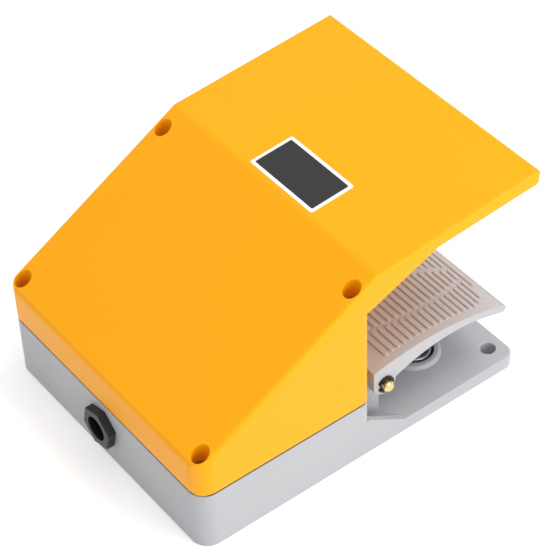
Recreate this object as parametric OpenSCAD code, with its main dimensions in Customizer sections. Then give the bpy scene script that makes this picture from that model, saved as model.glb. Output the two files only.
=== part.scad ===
// Heavy-duty treadle foot switch. A die-cast base and a guarding top cover are bolted together round
// a gasket, a sprung treadle hinges on a through pin in front of them, and its arm drives a sealed
// push rod into a snap-action switch inside. X runs across the treadle, Y from the toe (-) to the
// cable entry (+), Z up from the floor, with the origin at the centre of the base's footprint.

/* [Base casting] */
// Width of the base and of the cover
base_w = 160; // [150:1:190]
// Length of the base, from the toe plate's front edge to the back wall
base_l = 194; // [188:1:230]
// Height of the base's rim, where the gasket lies
base_h = 35; // [34:0.5:42]
// Length of the box behind the treadle, from its front wall to its back wall
box_l = 100; // [90:1:106]
// Thickness of the walls of both castings
wall_t = 4; // [3:0.25:5]
// Thickness of the box's floor
floor_t = 4; // [3:0.25:5]
// Thickness of the toe plate under the treadle
plate_t = 8; // [6:0.5:9]
// Radius of the upright corners at the back
corner_r = 9.5; // [9:0.25:12]
// Radius of the toe plate's two front corners
toe_r = 6; // [3:0.5:8]
// How far each side wall runs forward of the box as a sloping web
web_l = 22; // [12:1:30]
// Height of that web above the toe plate, where it leaves the box
web_rise = 14; // [8:1:18]
// Radius of the two floor-fixing holes
fixing_r = 4; // [3:0.25:5]
// Distance of a fixing hole's centre from the side of the base
fixing_in_x = 11; // [9:0.5:14]
// Distance of a fixing hole's centre from the toe plate's front edge
fixing_in_y = 9; // [8:0.5:12]

/* [Top cover] */
// Thickness of the rubber gasket between base and cover
gasket_t = 1; // [0.6:0.1:2]
// How far the gasket stays back from the castings' outer faces
gasket_in = 0.6; // [0.3:0.1:1]
// Height of the cover's upright band above the gasket at the back
band_h = 19.4; // [17:0.2:26]
// Rise of the sloping top from that band to the crease
slope_rise = 59.1; // [50:0.5:70]
// Distance of the crease in front of the box
crease_out = 5.3; // [3:0.1:10]
// Length of the roof over the treadle, from the crease to its front edge
roof_l = 99.2; // [80:0.2:115]
// Rise of the roof from the crease to its front edge
roof_rise = 7.7; // [4:0.1:12]
// Thickness of the roof
roof_t = 6; // [4:0.25:8]
// Length along the roof of the side wings that brace it
wing_l = 40; // [25:1:60]
// Depth of those wings below the roof, where they leave the box
wing_d = 13; // [8:1:20]
// Radius of the soft edges along the sides of the slope and the roof
edge_r = 3; // [1.5:0.25:3.5]
// Radius across the crease
crease_r = 9; // [4:0.5:14]

/* [Cover screws] */
// Radius of the screws' threads
screw_r = 2.5; // [2:0.1:3]
// Radius of the screws' heads
head_r = 4; // [3.6:0.1:4.1]
// Height of the screws' heads
head_h = 3.4; // [2.5:0.1:4]
// Radius of the wells that the heads sit in
well_r = 4.4; // [4.2:0.1:4.7]
// Depth of a head's top below the cover's face, on the well's axis
head_sink = 8; // [4:0.5:10]
// Distance of the screws from the sides and the back
screw_in = 6.4; // [6.3:0.1:7.5]
// Distance of the front screws from the box's front face
screw_in_front = 5.7; // [5.6:0.1:7]
// Length of thread inside the base
screw_bite = 16; // [10:1:22]
// Thickness of the washer under each head
washer_t = 1; // [0.5:0.1:1.5]

/* [Treadle] */
// Width of the treadle
pedal_w = 149; // [140:1:151]
// Thickness of the treadle's deck
pedal_t = 4.3; // [3.5:0.1:5]
// Distance from the pivot to the treadle's tip
pedal_reach = 77.5; // [68:0.5:79]
// Radius of the treadle's arched top
arch_r = 150; // [130:1:190]
// Height of the arch's crown above the pivot
crown_h = 13.5; // [12.5:0.25:16]
// Distance of the crown in front of the pivot
crown_y = 25.5; // [20:0.5:30]
// Radius of the side flanges' arched lower edge
flange_r = 88; // [80:1:110]
// Height of that lower edge's highest point above the pivot
flange_h = 7.2; // [6:0.1:8]
// Distance of that highest point in front of the pivot
flange_y = 41.5; // [36:0.5:46]
// Thickness of the side flanges, which carry the pin
flange_t = 4.5; // [3.5:0.1:5.5]
// Radius of the flanges' round lugs about the pin
lug_r = 6.8; // [6:0.1:7.5]
// Distance between neighbouring bars of the tread
bar_pitch = 3.8; // [3.2:0.1:5]
// Width of a tread bar
bar_w = 2.4; // [1.6:0.1:2.8]
// Height of a tread bar
bar_h = 0.9; // [0.5:0.1:1.3]

/* [Pivot] */
// Distance of the pin in front of the box
pivot_out = 13.5; // [12.5:0.25:15]
// Height of the pin above the floor
pivot_z = 34.5; // [33:0.5:36]
// Radius of the pin
pin_r = 3; // [2.5:0.1:3.3]
// How far the pin stands out past each flange
pin_out = 4; // [3.5:0.1:4.5]
// Width of the ears on the base that hold the pin
ear_t = 8; // [5:0.5:12]
// Room between an ear and the flange beside it
ear_gap = 3; // [1.5:0.1:4]
// Radius of the ears about the pin
ear_r = 5.5; // [5:0.1:5.7]
// Radial clearance of everything that turns on the pin
run_gap = 0.05; // [0.02:0.01:0.1]

/* [Return springs] */
// Distance between the two springs
spring_gap = 93; // [84:1:104]
// Distance of the springs in front of the pivot
spring_y = 41.5; // [38:0.5:48]
// Outer radius of a spring
spring_r = 9.4; // [8:0.1:10]
// Diameter of the spring wire
wire_d = 2; // [1.4:0.1:2.4]
// Number of working turns
turns = 6; // [5:1:8]
// Radius of the recess that a spring stands in
seat_r = 10.5; // [10.3:0.1:12]
// Outer radius of the raised ring round that recess
ring_r = 14.3; // [13.5:0.1:16]
// Height of that ring above the toe plate
ring_h = 2; // [1:0.25:3]
// Depth of the recess below the ring's top
seat_d = 5; // [3:0.5:6]

/* [Push rod] */
// Distance of the push rod below the pivot
rod_drop = 15.5; // [14:0.25:17]
// Radius of the push rod
rod_r = 2.5; // [2:0.1:3]
// Distance that the rod is pushed when the treadle is right down
rod_travel = 2.7; // [2.4:0.1:2.9]
// Play between parts that touch and separate as the treadle moves
touch_gap = 0.3; // [0.2:0.05:0.4]
// Radius of the guide bush's thread
guide_r = 5; // [4.5:0.1:6]

/* [Switch] */
// Length of the switch case across the box
case_l = 49; // [44:0.5:56]
// Depth of the switch case, from the plunger face to the terminal face
case_d = 24; // [20:0.5:30]
// Height of the switch case
case_h = 17.5; // [15:0.5:18]
// Distance between the switch's two fixing holes
case_hole_gap = 25.4; // [22:0.1:30]

/* [Cable entry] */
// Height of the cable entry above the floor
entry_z = 20.5; // [18:0.5:22]
// Distance across the flats of the gland nut
gland_af = 20; // [17:0.5:23]
// How far the gland nut stands out from the back wall
gland_out = 4.5; // [3:0.25:8]
// Radius of the hole for the cable
cable_r = 6.6; // [5:0.1:7]
// Radius of the gland nut's thread
gland_r = 8.5; // [8.2:0.1:9]
// Length of the gland nut's thread
gland_l = 8; // [6:0.5:10]

/* [Hidden] */
$fn = 64;
half_w = base_w / 2;
y_back = base_l / 2;
y_toe = -base_l / 2;
y_box = y_back - box_l;
x_in = half_w - wall_t;
y_in_back = y_back - wall_t;
y_in_front = y_box + wall_t;

// Heights and slopes of the cover
z_cover = base_h + gasket_t;
z_band = z_cover + band_h;
y_crease = y_box - crease_out;
z_crease = z_band + slope_rise;
y_roof = y_crease - roof_l;
z_roof = z_crease + roof_rise;
slope_a = atan(slope_rise / (y_back - y_crease));
roof_a = atan(roof_rise / roof_l);
function slope_z(y) = z_band + (y_back - y) * tan(slope_a);
function roof_z(y) = z_crease + (y_crease - y) * tan(roof_a);
roof_drop = roof_t / cos(roof_a);
slope_drop = wall_t / cos(slope_a);

// Pivot, treadle and its arches
y_pivot = y_box - pivot_out;
y_tip = y_pivot - pedal_reach;
y_heel = y_pivot + lug_r;
arch_c = [y_pivot - crown_y, pivot_z + crown_h - arch_r];
flange_c = [y_pivot - flange_y, pivot_z + flange_h - flange_r];
flange_in = pedal_w / 2 - flange_t;
ear_out = flange_in - ear_gap;
pin_l = pedal_w + 2 * pin_out;
clip_t = 0.9;
clip_r = 4.7;
clip_seat_r = pin_r - 0.8;
clip_x = pedal_w / 2 + touch_gap;
pin_chamfer = 0.8;
ear_front = 2.5;
y_ear = y_pivot - ear_front;
y_spring = y_pivot - spring_y;
z_seat = plate_t + ring_h - seat_d;
pad_rise = 6.5;
spring_pad_z = pivot_z + pad_rise;
spring_top = spring_pad_z - touch_gap;

// Push rod line: everything along Y is worked out from the arm to the switch
rod_z = pivot_z - rod_drop;
arm_t = 7;
arm_w = 14;
tip_r = 2.4;
tip_out = 2.5;
y_tip_end = y_pivot + arm_t / 2 + tip_out;
rod_head_t = 2;
rod_head_r = 5;
y_rod = y_tip_end + touch_gap;
guide_flange_t = 1.2;
guide_flange_r = guide_r + 1.8;
guide_nut_t = 3;
guide_in = wall_t + guide_nut_t + 2;
wiper_t = 1.6;
wiper_r = rod_r + 1.2;
y_guide_end = y_box + guide_in;
circlip_t = 0.7;
circlip_r = rod_r + 1.6;
y_circlip = y_guide_end + touch_gap;
y_rod_end = y_circlip + circlip_t + 2.5;
y_plunger = y_rod_end + touch_gap;
plunger_r = 3;
plunger_spare = 1.5;
plunger_out = rod_travel + plunger_spare;
y_case = y_plunger + plunger_out;
z_case = rod_z - case_h / 2;
bracket_t = 2;
bracket_w = case_l + 20;
bracket_screw_x = case_l / 2 + 6;
case_screw_r = 2;
case_hole_in = 10;
case_hole_y = y_case + case_hole_in;
boss_r = 5;

// Cover screws: [x, y] of each pair
screw_x = half_w - screw_in;
y_screw_back = y_back - screw_in;
y_screw_front = y_box + screw_in_front;
post_r = screw_in - 0.5;

// Cable entry
gland_bore_r = gland_r + run_gap;
entry_boss_r = gland_r + 3;
entry_boss_l = gland_l + 9;
seal_t = 5;
entry_washer_t = 1;
sleeve_t = 1.1;
y_gland_end = y_back - gland_l;
y_entry_seat = y_gland_end - entry_washer_t - seal_t;
slack = 0.02;
arc_steps = 6;

// Small radii of the castings
front_r = 4;
band_edge_r = 4;
lip_r = 2;
lip_corner_r = 6;
z_wing_foot = roof_z(y_box) - roof_drop - wing_d;

// Tread pattern, measured along the treadle from the pivot
tread_margin = 4.5;
bar_root = 1;
tread_l = pedal_reach - 6;
tread_round = 14;
bow_break = 2;
bow_in = 17.3;
bow_s = 33;
bow_r = 90;
vee_in = 33.1;
vee_slope = 0.34;
vee_break = 3.2;

// Treadle's underside
peg_r = spring_r - wire_d - 1;
peg_h = 4;
rib_x = 22;
rib_t = 3;
rib_h = 3;
locknut_t = 3;

// Switch terminals and the earth screw
terminal_gap = case_l / 3;
terminal_w = 7;
terminal_l = 11;
terminal_t = 1;
terminal_in = 4;
terminal_screw_r = 1.5;
terminal_head_r = 2.8;
terminal_head_h = 2;
earth_x = half_w - 26;
earth_y = y_back - 26;
earth_z = 12;
gland_turn = 16;

// ---- Shared forms -------------------------------------------------------------------------------

// Extrudes a (y, z) outline across X, centred on the middle
module across(width) rotate([90, 0, 90]) linear_extrude(width, center = true) children();

// Draws a form that is given for the +X side at both sides
module both_sides() {
  children();
  mirror([1, 0, 0]) children();
}

// A cylinder along Y that starts at y0 and runs towards the back
module along_y(r, l, y0) translate([0, y0, 0]) rotate([-90, 0, 0]) cylinder(r = r, h = l);

// A cylinder along X that starts at x0 and runs outwards
module along_x(r, l, x0) translate([x0, 0, 0]) rotate([0, 90, 0]) cylinder(r = r, h = l);

// A flat ring, lying at z = 0
module ring(r_out, r_in, h) difference() {
  cylinder(r = r_out, h = h);
  translate([0, 0, -1]) cylinder(r = r_in, h = h + 2);
}

// A hexagonal prism, sized across its flats
module hexagon(af, h) cylinder(r = af / sqrt(3), h = h, $fn = 6);

// Points of the arc of radius r that rounds the corner p of an outline, between points a and b
function rounded(p, a, b, r) =
  let (u = (a - p) / norm(a - p), v = (b - p) / norm(b - p), half = acos(u * v) / 2,
       c = p + (u + v) / norm(u + v) * r / sin(half), reach = r / tan(half),
       from = p + u * reach - c, to = p + v * reach - c,
       start = atan2(from.y, from.x), sweep = (atan2(to.y, to.x) - start + 540) % 360 - 180)
  [for (i = [0 : arc_steps]) let (t = start + sweep * i / arc_steps) c + r * [cos(t), sin(t)]];

// Outline of the castings seen from above: big corners at the back, smaller ones at the front
module plan(y0, r_front, inset = 0) {
  w = base_w - 2 * inset;
  y1 = y_back - inset;
  ya = y0 + inset;
  rb = corner_r - inset;
  rf = max(r_front - inset, 1);
  translate([-w / 2, ya + rf]) square([w, y1 - ya - rb - rf]);
  translate([-w / 2 + rb, y1 - rb - 1]) square([w - 2 * rb, rb + 1]);
  translate([-w / 2 + rf, ya]) square([w - 2 * rf, rf + 1]);
  for (s = [-1, 1]) {
    translate([s * (w / 2 - rb), y1 - rb]) circle(rb);
    translate([s * (w / 2 - rf), ya + rf]) circle(rf);
  }
}

// Places its children on the cover screws' axes
module at_screws(ys) for (s = [-1, 1], y = ys) translate([s * screw_x, y, 0]) children();

// A pan-headed screw that hangs from its seat at z = 0
module pan_screw(r, length, r_head, h_head, slot) difference() {
  union() {
    translate([0, 0, -length]) cylinder(r = r, h = length + slack);
    cylinder(r = r_head, h = h_head * 0.6);
    translate([0, 0, h_head * 0.6 - slack]) cylinder(r1 = r_head, r2 = r_head * 0.75, h = h_head * 0.4);
  }
  for (turn = [0, 90]) rotate(turn) translate([-r_head * 0.6, -slot / 2, h_head * 0.5])
    cube([r_head * 1.2, slot, h_head]);
}

// ---- Base casting -------------------------------------------------------------------------------

// Posts that the cover screws bite into, kept inside the box's outline
module screw_posts() intersection() {
  at_screws([y_screw_back, y_screw_front]) cylinder(r = post_r, h = base_h);
  linear_extrude(base_h) plan(y_box, front_r);
}

// The box's outer form, above the toe plate
module box_block() linear_extrude(base_h) plan(y_box, front_r);

// Side web from the box down to the toe plate
module side_web() translate([half_w - wall_t / 2, 0, 0]) across(wall_t)
  polygon([[y_box + wall_t, plate_t - 1], [y_box + wall_t, plate_t + web_rise],
           [y_box, plate_t + web_rise], [y_box - web_l, plate_t], [y_box - web_l, plate_t - 1]]);

// Ear that holds the pin, standing on the toe plate against the box
module ear() {
  translate([ear_out - ear_t / 2, 0, 0]) across(ear_t)
    polygon([[y_box + 1, plate_t - 1], [y_box + 1, pivot_z], [y_pivot, pivot_z + 0.5],
             [y_ear, pivot_z], [y_ear, plate_t - 1]]);
  translate([0, y_pivot, pivot_z]) along_x(ear_r, ear_t, ear_out - ear_t);
}

// Raised ring that keeps a return spring in place
module spring_ring() translate([spring_gap / 2, y_spring, plate_t - slack])
  cylinder(r1 = ring_r, r2 = ring_r - ring_h * 0.6, h = ring_h + slack);

module base_housing() color([0.72, 0.73, 0.75]) difference() {
  union() {
    linear_extrude(plate_t) plan(y_toe, toe_r);
    difference() {
      box_block();
      translate([0, 0, floor_t]) linear_extrude(base_h) plan(y_box, front_r, wall_t);
    }
    screw_posts();
    both_sides() {
      side_web();
      ear();
      spring_ring();
    }
    // Boss that the gland screws into
    translate([0, 0, entry_z]) along_y(entry_boss_r, entry_boss_l, y_back - entry_boss_l);
    // Pillars under the switch bracket, and the one for the earth screw
    both_sides() translate([bracket_screw_x, case_hole_y, 0]) cylinder(r = boss_r, h = z_case - bracket_t);
    translate([-earth_x, earth_y, 0]) cylinder(r = boss_r, h = earth_z);
    // Block that the push rod's guide passes through
    translate([0, 0, rod_z]) along_y(guide_r + 2.5, wall_t, y_box);
  }
  // Room inside, cut again so that the plate's thickness ends at the box
  translate([0, 0, floor_t]) linear_extrude(plate_t - floor_t + slack) difference() {
    plan(y_box, front_r, wall_t);
    at_screws([y_screw_back, y_screw_front]) circle(post_r);
    for (s = [-1, 1]) translate([s * bracket_screw_x, case_hole_y]) circle(boss_r);
    translate([-earth_x, earth_y]) circle(boss_r);
  }
  at_screws([y_screw_back, y_screw_front]) translate([0, 0, base_h - screw_bite - 2])
    cylinder(r = screw_r + run_gap, h = screw_bite + 4);
  for (s = [-1, 1]) {
    translate([s * (half_w - fixing_in_x), y_toe + fixing_in_y, -1]) cylinder(r = fixing_r, h = plate_t + 2);
    translate([s * spring_gap / 2, y_spring, z_seat]) cylinder(r = seat_r, h = ring_h + seat_d + 1);
    translate([s * bracket_screw_x, case_hole_y, floor_t]) cylinder(r = case_screw_r + run_gap, h = base_h);
  }
  translate([0, y_pivot, pivot_z]) along_x(pin_r + run_gap, 2 * half_w, -half_w);
  translate([-earth_x, earth_y, floor_t]) cylinder(r = screw_r + run_gap, h = base_h);
  translate([0, 0, rod_z]) along_y(guide_r + run_gap, wall_t + 2, y_box - 1);
  translate([0, 0, entry_z]) {
    along_y(gland_bore_r, gland_l + seal_t + entry_washer_t + 1, y_entry_seat);
    along_y(cable_r + 0.6, entry_boss_l + 2, y_back - entry_boss_l - 1);
  }
}

// ---- Top cover ----------------------------------------------------------------------------------

// Side view of the cover with its wings and roof
module cover_side() {
  back_foot = [y_back, z_cover];
  band_top = [y_back, z_band];
  crease = [y_crease, z_crease];
  roof_top = [y_roof, z_roof];
  roof_under = [y_roof + roof_t * sin(roof_a), z_roof - roof_t * cos(roof_a)];
  wing_tip = [y_box - wing_l, roof_z(y_box - wing_l) - roof_drop];
  wing_foot = [y_box, roof_z(y_box) - roof_drop - wing_d];
  front_foot = [y_box, z_cover];
  polygon(concat(
    [back_foot],
    rounded(band_top, back_foot, crease, band_edge_r),
    rounded(crease, band_top, roof_top, crease_r),
    rounded(roof_top, crease, roof_under, lip_r),
    rounded(roof_under, roof_top, wing_tip, lip_r),
    [wing_tip, wing_foot, front_foot]
  ));
}

// What the side edges of a plane lose when they are softened: the plane passes through (y, z) = p and
// rises forwards at angle a
module edge_waste(p, a) translate([0, p[0], p[1]]) rotate([90 - a, 0, 0])
  linear_extrude(4 * base_l, center = true) both_edges() difference() {
    translate([half_w - edge_r, -edge_r]) square(edge_r + 1);
    translate([half_w - edge_r, -edge_r]) circle(edge_r);
  }

// Draws an outline at +X and its mirror image at -X
module both_edges() {
  children();
  mirror([1, 0]) children();
}

// Everything inside the cover's outer faces, before it is hollowed
module cover_block() difference() {
  intersection() {
    across(base_w + 2) cover_side();
    linear_extrude(2 * z_roof) plan(y_roof - 1, lip_corner_r);
  }
  edge_waste([y_back, z_band], slope_a);
  edge_waste([y_crease, z_crease], roof_a);
}

// Side view of the room inside the cover
module cover_room() polygon([
  [y_in_front, z_cover - 1], [y_in_back, z_cover - 1],
  [y_in_back, slope_z(y_in_back) - slope_drop],
  [y_in_front, slope_z(y_in_front) - slope_drop]
]);

// Side view of the open space in front of the box and under the roof
module foot_space() polygon([
  [y_box, z_cover - 1], [y_box, roof_z(y_box) - roof_drop],
  [y_roof - 20, roof_z(y_roof - 20) - roof_drop], [y_roof - 20, z_cover - 1]
]);

module top_cover() color([1, 0.68, 0.11]) difference() {
  cover_block();
  difference() {
    intersection() {
      across(2 * x_in) cover_room();
      linear_extrude(2 * z_roof) plan(y_box, front_r, wall_t);
    }
    at_screws([y_screw_back, y_screw_front]) cylinder(r = post_r, h = 2 * z_roof);
  }
  across(2 * x_in) foot_space();
  // Upright front corners of the box part, below the wings
  both_sides() translate([half_w - front_r, y_box + front_r, 0]) difference() {
    translate([0, -front_r - 1, 0]) cube([front_r + 1, front_r + 1, z_wing_foot]);
    cylinder(r = front_r, h = 2 * z_roof);
  }
  for (y = [y_screw_back, y_screw_front]) at_screws([y]) {
    cylinder(r = screw_r + 0.3, h = 2 * z_roof);
    translate([0, 0, slope_z(y) - head_sink - head_h - washer_t]) cylinder(r = well_r, h = z_roof);
  }
}

// Flat rubber frame between the castings, a little back from their faces
module cover_gasket() color([0.16, 0.13, 0.11]) translate([0, 0, base_h])
  linear_extrude(gasket_t) difference() {
    plan(y_box, front_r, gasket_in);
    difference() {
      plan(y_box, front_r, wall_t);
      at_screws([y_screw_back, y_screw_front]) circle(post_r);
    }
    at_screws([y_screw_back, y_screw_front]) circle(screw_r + 0.3);
  }

// One pair of cover screws, with their threads ending inside the base's posts
module cover_screw_pair(y) {
  seat = slope_z(y) - head_sink - head_h;
  at_screws([y]) translate([0, 0, seat])
    pan_screw(screw_r, seat - base_h + screw_bite, head_r, head_h, 1);
}

module cover_screws_back() color([0.62, 0.62, 0.6]) cover_screw_pair(y_screw_back);
module cover_screws_front() color([0.62, 0.62, 0.6]) cover_screw_pair(y_screw_front);

module cover_washers() color([0.7, 0.7, 0.68]) for (y = [y_screw_back, y_screw_front])
  at_screws([y]) translate([0, 0, slope_z(y) - head_sink - head_h - washer_t])
    ring(head_r, screw_r + 0.2, washer_t);

// ---- Treadle ------------------------------------------------------------------------------------

// Side view of all that lies under the arch from y0 to y1; what hangs from the deck ends inside it
module arch_side(y0, y1, r = arch_r - pedal_t / 2) intersection() {
  translate(arch_c) circle(r, $fn = 180);
  translate([y0, pivot_z - 2 * lug_r]) square([y1 - y0, 2 * crown_h + 2 * lug_r]);
}

// Side view of the deck, an arched plate with a round nose
module deck_side() {
  nose_r = pedal_t / 2;
  nose_y = y_tip + nose_r;
  nose_z = arch_c[1] + sqrt((arch_r - nose_r) ^ 2 - (nose_y - arch_c[0]) ^ 2);
  difference() {
    arch_side(nose_y, y_heel, arch_r);
    translate(arch_c) circle(arch_r - pedal_t, $fn = 180);
  }
  translate([nose_y, nose_z]) circle(nose_r);
}

// Side view of a flange: a shallow arch that deepens into the lug about the pin
module flange_side() {
  difference() {
    intersection() {
      arch_side(y_tip + pedal_t, y_pivot);
      translate([y_tip, pivot_z]) square([pedal_reach, 2 * crown_h]);
    }
    translate(flange_c) circle(flange_r, $fn = 180);
  }
  translate([y_pivot, pivot_z]) circle(lug_r);
  intersection() {
    arch_side(y_pivot - lug_r, y_heel);
    translate([y_pivot - lug_r, pivot_z]) square([2 * lug_r, 2 * crown_h]);
  }
}

// One straight tread bar at arc angle phi, from x0 to x1, with its corners cut off
module bar(phi, x0, x1) if (x1 - x0 > bar_w)
  translate([0, arch_c[0], arch_c[1]]) rotate([phi, 0, 0]) translate([0, 0, arch_r - bar_root])
    linear_extrude(bar_root + bar_h) let (w = bar_w / 2, c = 0.3 * bar_w) polygon([
      [x0 + c, -w], [x1 - c, -w], [x1, c - w], [x1, w - c],
      [x1 - c, w], [x0 + c, w], [x0, w - c], [x0, c - w]
    ]);

// Outer ends of the bars: a straight line that rounds in towards the tip
function tread_edge(s) =
  let (full = pedal_w / 2 - tread_margin, d = s - (tread_l - tread_round))
  d > 0 ? full - tread_round + sqrt(tread_round ^ 2 - min(d, tread_round) ^ 2) : full;

// Outer gap line, bowed outwards; inner gap line, a V that opens towards the tip
function bow_x(s) = pedal_w / 2 - bow_in - (s - bow_s) ^ 2 / (2 * bow_r);
function vee_x(s) = pedal_w / 2 - vee_in - (tread_l - s) * vee_slope;

// Rows of bars from the tip to the pivot: the first runs right across, the others are broken twice
module tread() {
  function angle(s) = (s + bar_pitch / 2 - crown_y) / arch_r * 180 / PI;
  bar(angle(tread_l), -tread_edge(tread_l), tread_edge(tread_l));
  for (i = [1 : floor(tread_l / bar_pitch)]) {
    s = tread_l - i * bar_pitch;
    both_sides() {
      bar(angle(s), bow_x(s), tread_edge(s));
      bar(angle(s), max(vee_x(s), 1), bow_x(s) - bow_break);
    }
    bar(angle(s), -max(vee_x(s) - vee_break, 0), max(vee_x(s) - vee_break, 0));
  }
}

module treadle() color([0.76, 0.74, 0.73]) difference() {
  union() {
    across(pedal_w) deck_side();
    both_sides() {
      translate([flange_in + flange_t / 2, 0, 0]) across(flange_t) flange_side();
      // Pad and peg that centre the spring under the deck
      intersection() {
        translate([spring_gap / 2, y_spring, spring_pad_z]) cylinder(r = spring_r + 1, h = crown_h);
        across(pedal_w) arch_side(y_tip + pedal_t, y_heel);
      }
      translate([spring_gap / 2, y_spring, spring_pad_z - peg_h]) cylinder(r = peg_r, h = peg_h + 1);
      // Stiffening rib
      translate([rib_x, 0, 0]) across(rib_t) intersection() {
        arch_side(y_tip + 2 * pedal_t, y_heel - 1);
        difference() {
          translate([y_tip, pivot_z]) square([pedal_reach + lug_r, 2 * crown_h]);
          translate(arch_c) circle(arch_r - pedal_t - rib_h, $fn = 180);
        }
      }
    }
    // Arm that reaches down to the push rod, with a hub round the pin
    across(arm_w) intersection() {
      arch_side(y_tip, y_heel);
      translate([y_pivot - arm_t / 2, pivot_z]) square([arm_t, 2 * crown_h]);
    }
    translate([-arm_w / 2, y_pivot - arm_t / 2, rod_z - 5]) cube([arm_w, arm_t, rod_drop + 5]);
    translate([0, y_pivot, pivot_z]) along_x(ear_r, arm_w, -arm_w / 2);
    tread();
  }
  translate([0, y_pivot, pivot_z]) along_x(pin_r + run_gap, 2 * half_w, -half_w);
  translate([0, 0, rod_z]) along_y(screw_r + run_gap, arm_t + 2, y_pivot - arm_t / 2 - 1);
}

// ---- Pivot --------------------------------------------------------------------------------------

// Pin outline from its middle to one end, with the clip groove and a chamfer
module pivot_pin() color([0.86, 0.8, 0.52]) translate([0, y_pivot, pivot_z]) rotate([0, 90, 0])
  rotate_extrude() {
    end = pin_l / 2;
    groove_x = clip_x - 0.1;
    polygon([
      [0, -end], [pin_r - pin_chamfer, -end], [pin_r, -end + pin_chamfer],
      [pin_r, -groove_x - clip_t - 0.2], [clip_seat_r, -groove_x - clip_t - 0.2],
      [clip_seat_r, -groove_x], [pin_r, -groove_x], [pin_r, groove_x], [clip_seat_r, groove_x],
      [clip_seat_r, groove_x + clip_t + 0.2], [pin_r, groove_x + clip_t + 0.2],
      [pin_r, end - pin_chamfer], [pin_r - pin_chamfer, end], [0, end]
    ]);
  }

// A clip pressed into a groove: a thin ring with a mouth and two notches
module e_clip(r_out, r_in, t) difference() {
  cylinder(r = r_out, h = t);
  translate([0, 0, -1]) cylinder(r = r_in, h = t + 2);
  translate([-r_in * 0.8, 0, -1]) cube([r_in * 1.6, 2 * r_out, t + 2]);
  for (s = [-1, 1]) translate([s * r_in * 1.05, -r_in * 0.75, -1]) cylinder(r = r_in * 0.32, h = t + 2);
}

module retaining_clips() color([0.16, 0.15, 0.14]) both_sides()
  translate([clip_x, y_pivot, pivot_z]) rotate([0, 90, 0]) e_clip(clip_r, clip_seat_r + run_gap, clip_t);

module pivot_spacers() color([0.88, 0.87, 0.82]) both_sides()
  translate([ear_out, y_pivot, pivot_z]) rotate([0, 90, 0])
    ring(ear_r, pin_r + run_gap, ear_gap - touch_gap);

// ---- Return springs -----------------------------------------------------------------------------

// Helix of round wire whose closed ends lie flat until the next turn has climbed past the wire
module coil_spring(r_out, d, z0, z1, working) {
  sides = 8;
  mean = r_out - d / 2;
  lift = z1 - z0 - d;
  closed = max(0.1, 1 - 1.15 * d * working / lift);
  all_turns = working + 2 * closed;
  rings = round(20 * all_turns);
  // Height along the wire: flat at each end, an even climb between them
  function rise(t) = d / 2 + z0 + lift * max(0, min(1, (t * all_turns - closed) / working));
  pts = [for (i = [0 : rings]) let (t = i / rings, a = 360 * t * all_turns)
    for (k = [0 : sides - 1]) let (b = 360 * k / sides, r = mean + d / 2 * cos(b))
      [r * cos(a), r * sin(a), rise(t) + d / 2 * sin(b)]];
  skin = [for (i = [0 : rings - 1], k = [0 : sides - 1])
    let (n = (k + 1) % sides, p = i * sides, q = (i + 1) * sides) [p + k, p + n, q + n, q + k]];
  polyhedron(pts, concat([[for (k = [0 : sides - 1]) sides - 1 - k]], skin,
                         [[for (k = [0 : sides - 1]) rings * sides + k]]));
}

module return_spring() translate([0, y_spring, 0])
  coil_spring(spring_r, wire_d, z_seat, spring_top, turns);

module return_spring_left() color([0.3, 0.3, 0.31]) translate([-spring_gap / 2, 0, 0]) return_spring();
module return_spring_right() color([0.3, 0.3, 0.31]) translate([spring_gap / 2, 0, 0]) return_spring();

// ---- Push rod -----------------------------------------------------------------------------------

// Set screw with a domed end, carried in the arm
module adjusting_screw() color([0.75, 0.74, 0.7]) translate([0, 0, rod_z]) difference() {
  union() {
    y0 = y_pivot - arm_t / 2 - locknut_t - 3;
    along_y(screw_r, y_tip_end - tip_r - y0, y0);
    translate([0, y_tip_end - tip_r, 0]) sphere(tip_r);
  }
  along_y(screw_r * 0.5, 2, y_pivot - arm_t / 2 - locknut_t - 4);
}

module adjusting_locknut() color([0.7, 0.7, 0.68])
  translate([0, y_pivot - arm_t / 2 - locknut_t, rod_z]) rotate([-90, 0, 0]) difference() {
    hexagon(3.2 * screw_r, locknut_t);
    translate([0, 0, -1]) cylinder(r = screw_r + run_gap, h = locknut_t + 2);
  }

module push_rod() color([0.8, 0.8, 0.82]) translate([0, y_rod, rod_z]) rotate([-90, 0, 0])
  rotate_extrude() {
    stop = y_circlip - y_rod;
    end = y_rod_end - y_rod;
    polygon([
      [0, 0], [rod_head_r - 0.5, 0], [rod_head_r, 0.5], [rod_head_r, rod_head_t], [rod_r, rod_head_t],
      [rod_r, stop - 0.1], [rod_r - 0.6, stop - 0.1], [rod_r - 0.6, stop + circlip_t + 0.1],
      [rod_r, stop + circlip_t + 0.1], [rod_r, end - 0.5], [rod_r - 0.5, end], [0, end]
    ]);
  }

module rod_circlip() color([0.16, 0.15, 0.14]) translate([0, y_circlip, rod_z]) rotate([-90, 0, 0])
  e_clip(circlip_r, rod_r - 0.6 + run_gap, circlip_t);

// Brass bush, threaded through the box's front wall, with a pocket for the wiper at its flange
module rod_guide() color([0.8, 0.66, 0.33]) translate([0, 0, rod_z]) difference() {
  union() {
    along_y(guide_flange_r, guide_flange_t, y_box - guide_flange_t);
    along_y(guide_r, guide_in, y_box);
  }
  along_y(rod_r + run_gap, guide_in + 10, y_box - 5);
  along_y(wiper_r + run_gap, wiper_t, y_box - guide_flange_t - slack);
}

module rod_guide_nut() color([0.78, 0.64, 0.32]) translate([0, y_in_front, rod_z]) rotate([-90, 0, 0])
  difference() {
    hexagon(3 * guide_r, guide_nut_t);
    translate([0, 0, -1]) cylinder(r = guide_r + run_gap, h = guide_nut_t + 2);
  }

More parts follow.
